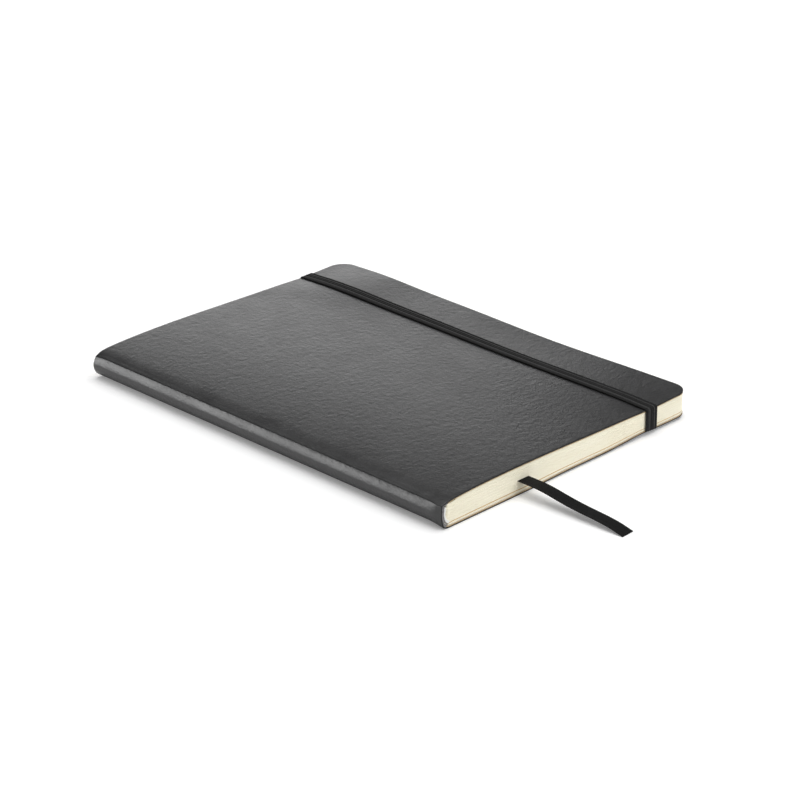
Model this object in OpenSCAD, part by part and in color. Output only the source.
// Soft-cover A5 notebook, closed, lying on its back cover.
// X runs from the spine to the fore edge, Y from the tail to the head, Z up from the table.
// The origin is the middle of the footprint, on the table.

/* [Book] */
// Length from tail to head
book_l = 210; // [180:1:230]
// Width from the back of the spine to the fore edge
book_w = 150; // [110:1:220]
// Height over the thickest part, a quarter of the way from the spine
book_h = 13.3; // [12.5:0.1:20]
// Height at the fore edge, where the strap holds the book together
fore_h = 12.1; // [11:0.1:14]
// How much lower the front cover would be at the back of the spine than at its highest
spine_drop = 2.1; // [0.5:0.1:3]
// Distance over which the front cover falls away towards the spine
drop_fade = 14; // [6:0.5:25]
// Where the front cover begins to fall towards the fore edge, from the back of the spine
fall_start = 35; // [20:1:60]
// How far on the spine's side of the strap's middle the covers have come down
fall_end = 10; // [5:1:25]
// Radius of the rounded corners at the fore edge
corner_r = 8; // [2:0.5:15]
// Radius of the rounded shoulders of the spine
spine_r = 5; // [4.4:0.1:5.4]

/* [Covers] */
// Thickness of the leathercloth cover with its card
cover_t = 1; // [0.8:0.05:1.2]
// Gap between a cover and the spine, and between a cover's paper and the pages
cover_gap = 0.1; // [0.05:0.05:0.2]

/* [Papers] */
// Thickness of the endpaper glued inside each cover
pastedown_t = 0.2; // [0.1:0.05:0.4]
// Thickness of the loose endpaper leaf next to the pages
flyleaf_t = 0.15; // [0.1:0.05:0.3]
// Distance of the endpapers' folds from the back of the spine
paper_start = 7; // [6:0.5:12]
// How far the cut edges of the paper lie inside the edges of the covers
page_inset = 0.2; // [0:0.05:1]
// Thickness of the last leaves that lie apart from the rest, against the back cover
last_leaves_t = 1.1; // [0.6:0.1:3]
// Height of the parting above the last leaves
parting_h = 0.25; // [0.1:0.05:0.5]
// Depth of that parting from the cut edges
parting_deep = 1; // [0.5:0.1:3]
// Where that parting begins, measured from the back of the spine
parting_start = 18; // [12:1:40]

/* [Spine build] */
// Thickness of the card strip that stiffens the spine
strip_t = 0.5; // [0.3:0.05:0.8]
// Thickness of the white crepe lining glued over the folds of the pages
lining_t = 0.3; // [0.15:0.05:0.6]

/* [Strap] */
// Width of the elastic strap
strap_w = 7; // [4:0.5:12]
// Thickness of the strap
strap_t = 0.8; // [0.6:0.05:1.2]
// Thickness of the strap where it is pressed into the back cover
strap_pressed_t = 0.55; // [0.4:0.05:0.6]
// Distance of the strap's middle from the fore edge
strap_inset = 25; // [20:1:40]
// Distance of the slits in the back cover from the head and the tail
slit_inset = 12; // [8:1:25]
// Length of the strap's ends glued inside the back cover
strap_end_l = 10; // [5:1:20]
// Room on each side of the strap in the back cover's grooves
groove_room = 0.2; // [0.1:0.05:0.4]

/* [Ribbon] */
// Width of the ribbon marker
ribbon_w = 6.6; // [4:0.1:8]
// Thickness of the ribbon marker
ribbon_t = 0.3; // [0.2:0.05:0.4]
// Room between the ribbon and the pages on each side
ribbon_room = 0.05; // [0.05:0.05:0.2]

/* [Hidden] */
$fn = 48;
shoulder_steps = 10;
curve_steps = 22;
curve_power = 1.4;
over = 1;

// Where the strap lies, and where the covers have come down to their height at the fore edge
strap_x = book_w - strap_inset;
flat_x = strap_x - fall_end;

// Height of the front cover's outer face above the table, x from the back of the spine
function ease(t) = t <= 0 ? 0 : t >= 1 ? 1 : t * t * (3 - 2 * t);
function top_z(x) = book_h - spine_drop * exp(-x / drop_fade)
    - (book_h - fore_h) * ease((x - fall_start) / (flat_x - fall_start));

// The upper shoulder of the spine is an arc about this height
shoulder_z = top_z(spine_r) - spine_r;

// Depths of the layers inside the covers and inside the spine
flyleaf_out = cover_t + pastedown_t + cover_gap;
pages_out = flyleaf_out + flyleaf_t;
strip_in = cover_t + strip_t;
lining_in = strip_in + lining_t;

strap_bottom = 0.05;
groove_deep = strap_bottom + strap_pressed_t;
slit_y = book_l / 2 - slit_inset;
parting_z = pages_out + last_leaves_t;

// The ribbon's middle line, from its glued end at the head of the spine to its cut end on the table,
// with X measured from the back of the spine
ribbon_points = [
    [6, 98, 6.1], [7, 83, 6.1], [9, 68, 6.1], [12.5, 53, 6.1], [17, 38, 6.1],
    [22, 23, 6.1], [27.5, 8, 6.1], [33, -7, 6.1], [38, -22, 6.1], [42, -37, 6.1],
    [45, -52, 6.1], [46.7, -67, 6.1], [47.4, -82, 6.1], [47.5, -94, 6.1], [47.5, -105, 6.1],
    [47.5, -110, 6.1], [47.6, -115, 5.9], [47.7, -119.5, 5.4], [47.8, -124, 4.7], [47.9, -128, 4.1],
    [48, -132, 3.6], [48.1, -136, 3.2], [48.2, -140, 2.9], [48.3, -144, 2.6], [48.4, -148, 2.2],
    [48.5, -152, 1.6], [48.6, -155.5, 0.8], [48.7, -158, 0.2]
];
ribbon_route = [for (p = ribbon_points) p - [book_w / 2, 0, 0]];
ribbon_z = 6.1;
// Room in the pages behind the ribbon's glued end
ribbon_end_room = 0.5;

// A point on a shoulder of radius r: 0 is the back of the spine and 90 the top or the bottom
function upper_arc(r, a) = [spine_r - r * cos(a), shoulder_z + r * sin(a)];
function lower_arc(r, a) = [spine_r - r * cos(a), spine_r - r * sin(a)];
function upper_arcs(r, a0, a1) =
    [for (i = [0:shoulder_steps]) upper_arc(r, a0 + (a1 - a0) * i / shoulder_steps)];
function lower_arcs(r, a0, a1) =
    [for (i = [0:shoulder_steps]) lower_arc(r, a0 + (a1 - a0) * i / shoulder_steps)];
// The front cover's curve at a depth below its outer face, with closer points near the spine
function top_curve(depth) = [for (i = [0:curve_steps])
    let (x = spine_r + (book_w - spine_r) * pow(i / curve_steps, curve_power)) [x, top_z(x) - depth]];
function reversed(list) = [for (i = [len(list) - 1:-1:0]) list[i]];

// A layer over the pages, between two depths below the front cover's outer face
function top_layer(outer, inner) = concat(top_curve(outer), reversed(top_curve(inner)));
// A flat layer under the pages, between two heights above the table
function bottom_layer(low, high) = [[spine_r, low], [book_w, low], [book_w, high], [spine_r, high]];
// The angle at which an arc of radius r comes within a distance of the spine's top or bottom
function level_angle(r, distance) = asin(min(1, (spine_r - distance) / r));

// A profile across the book, drawn in X and Z, run from tail to head
module run_along(profile) {
    translate([-book_w / 2, 0, 0])
        rotate([90, 0, 0])
            linear_extrude(height = book_l + 2 * over, center = true)
                polygon(profile);
}

// The outline of the book seen from above, from a distance off the spine, inset at its cut edges
module plan(inset = 0, start = -over) {
    r = max(0.5, corner_r - inset);
    translate([-book_w / 2 + start, -book_l / 2 + inset])
        square([book_w - start - inset - r, book_l - 2 * inset]);
    translate([-book_w / 2 + start, -book_l / 2 + inset + r])
        square([book_w - start - inset, book_l - 2 * inset - 2 * r]);
    for (side = [-1, 1])
        translate([book_w / 2 - inset - r, side * (book_l / 2 - inset - r)])
            circle(r);
}

module trimmed(inset = 0, start = -over) {
    intersection() {
        children();
        translate([0, 0, -over])
            linear_extrude(height = book_h + 3 * over)
                plan(inset, start);
    }
}

// A ring of the spine between two radii, down and up to where the covers begin
function spine_ring(outer, inner, distance) = concat(
    lower_arcs(outer, level_angle(outer, distance), 0),
    upper_arcs(outer, 0, level_angle(outer, distance)),
    upper_arcs(inner, level_angle(inner, distance), 0),
    lower_arcs(inner, 0, level_angle(inner, distance)));

// The slot between two leaves in which the ribbon lies, as an outline seen from above
function route_side(i) = let (
    a = ribbon_route[max(0, i - 1)],
    b = ribbon_route[min(len(ribbon_route) - 1, i + 1)],
    d = [b[0] - a[0], b[1] - a[1]])
    [-d[1], d[0], 0] / norm(d);
inner_points = len([for (p = ribbon_route) if (p[1] > -book_l / 2 - over) p]);
function slot_edge(side) = [for (i = [0:inner_points - 1])
    let (p = ribbon_route[i] + side * (ribbon_w / 2 + ribbon_room) * route_side(i)) [p[0], p[1]]];

module ribbon_slot() {
    low = slot_edge(-1);
    high = slot_edge(1);
    last = inner_points - 1;
    past_tail = -book_l / 2 - over;
    translate([0, 0, ribbon_z - ribbon_t / 2 - ribbon_room])
        linear_extrude(height = ribbon_t + 2 * ribbon_room)
            polygon(concat(
                [low[0] + [0, ribbon_end_room]], low, [[low[last][0], past_tail]],
                [[high[last][0], past_tail]], reversed(high), [high[0] + [0, ribbon_end_room]]));
}

// The parting between the last leaves and the rest, open at the three cut edges
module parting() {
    translate([0, 0, parting_z])
        linear_extrude(height = parting_h)
            difference() {
                translate([-book_w / 2 + parting_start, -book_l / 2 - over])
                    square([book_w, book_l + 2 * over]);
                plan(page_inset + parting_deep);
            }
}

module text_block() {
    color("ivory")
        difference() {
            trimmed(page_inset)
                run_along(concat(
                    [[book_w, pages_out], [spine_r, pages_out]],
                    lower_arcs(spine_r - lining_in, 90, 0),
                    upper_arcs(spine_r - lining_in, 0, 90),
                    top_curve(pages_out)));
            ribbon_slot();
            parting();
        }
}

module spine_lining() {
    color("white")
        trimmed(page_inset)
            run_along(spine_ring(spine_r - strip_in, spine_r - lining_in, cover_t + cover_gap));
}

module spine_strip() {
    color("dimgray")
        trimmed(page_inset)
            run_along(spine_ring(spine_r - cover_t, spine_r - strip_in, cover_t + cover_gap));
}

module spine_cover() {
    color([0.13, 0.13, 0.13])
        trimmed()
            run_along(spine_ring(spine_r, spine_r - cover_t, cover_t + cover_gap));
}

module front_flyleaf() {
    color("cornsilk")
        trimmed(page_inset, paper_start)
            run_along(top_layer(flyleaf_out, pages_out));
}

module back_flyleaf() {
    color("cornsilk")
        trimmed(page_inset, paper_start)
            run_along(bottom_layer(flyleaf_out, pages_out));
}

module front_cover() {
    tip = level_angle(spine_r, cover_t);
    color([0.15, 0.15, 0.15])
        trimmed()
            run_along(concat(
                upper_arcs(spine_r, tip, 90),
                top_layer(0, cover_t)));
}

module front_pastedown() {
    color("cornsilk")
        trimmed(page_inset, paper_start)
            run_along(top_layer(cover_t, cover_t + pastedown_t));
}

// The two grooves that take one end of the strap: under the cover to its slit, then over it
module strap_groove(side) {
    wide = strap_w + 2 * groove_room;
    slit_l = strap_pressed_t + 2 * groove_room;
    translate([strap_x - book_w / 2 - wide / 2, 0, 0])
        mirror([0, side, 0]) {
            translate([0, slit_y - groove_room, -over])
                cube([wide, slit_inset + groove_room + over, over + groove_deep]);
            translate([0, slit_y - strap_end_l - groove_room, cover_t - strap_pressed_t])
                cube([wide, strap_end_l + slit_l, cover_t]);
        }
}

module back_cover() {
    tip = level_angle(spine_r, cover_t);
    color([0.15, 0.15, 0.15])
        difference() {
            trimmed()
                run_along(concat(
                    lower_arcs(spine_r, tip, 90),
                    [[book_w, 0], [book_w, cover_t]]));
            for (side = [0, 1])
                strap_groove(side);
        }
}

module back_pastedown() {
    color("cornsilk")
        trimmed(page_inset, paper_start)
            run_along(bottom_layer(cover_t, cover_t + pastedown_t));
}

// The strap seen along X: round the book, under the back cover and up through its slits
module strap_profile() {
    top = fore_h + strap_t;
    out = book_l / 2 + strap_t;
    difference() {
        union() {
            translate([-out, strap_bottom + strap_t])
                square([2 * out, top - strap_bottom - 2 * strap_t]);
            translate([-out + strap_t, strap_bottom])
                square([2 * out - 2 * strap_t, top - strap_bottom]);
            for (y = [-1, 1], z = [strap_bottom + strap_t, top - strap_t])
                translate([y * (out - strap_t), z])
                    circle(strap_t);
        }
        translate([-book_l / 2, groove_deep])
            square([book_l, fore_h - groove_deep]);
        translate([-slit_y, -over])
            square([2 * slit_y, over + groove_deep + strap_t]);
    }
    for (side = [0, 1])
        mirror([side, 0]) {
            translate([slit_y, strap_bottom])
                square([strap_pressed_t, cover_t - strap_bottom]);
            translate([slit_y - strap_end_l, cover_t - strap_pressed_t])
                square([strap_end_l + strap_pressed_t, strap_pressed_t]);
        }
}

module elastic_strap() {
    color([0.1, 0.1, 0.1])
        translate([strap_x - book_w / 2, 0, 0])
            rotate([90, 0, 90])
                linear_extrude(height = strap_w, center = true)
                    strap_profile();
}

// One flat strip swept along the ribbon's route, its width level and square to the route
module ribbon_marker() {
    n = len(ribbon_route);
    half = ribbon_w / 2;
    rings = [for (i = [0:n - 1]) let (p = ribbon_route[i], s = half * route_side(i), h = [0, 0, ribbon_t / 2])
        each [p - s - h, p + s - h, p + s + h, p - s + h]];
    sides = [for (i = [0:n - 2], k = [0:3])
        [4 * i + k, 4 * i + (k + 1) % 4, 4 * i + 4 + (k + 1) % 4, 4 * i + 4 + k]];
    color([0.12, 0.12, 0.12])
        polyhedron(points = rings,
            faces = concat([[3, 2, 1, 0]], sides, [[for (k = [0:3]) 4 * (n - 1) + k]]));
}

text_block();
spine_lining();
spine_strip();
spine_cover();
front_flyleaf();
back_flyleaf();
ribbon_marker();
front_cover();
front_pastedown();
back_cover();
back_pastedown();
elastic_strap();
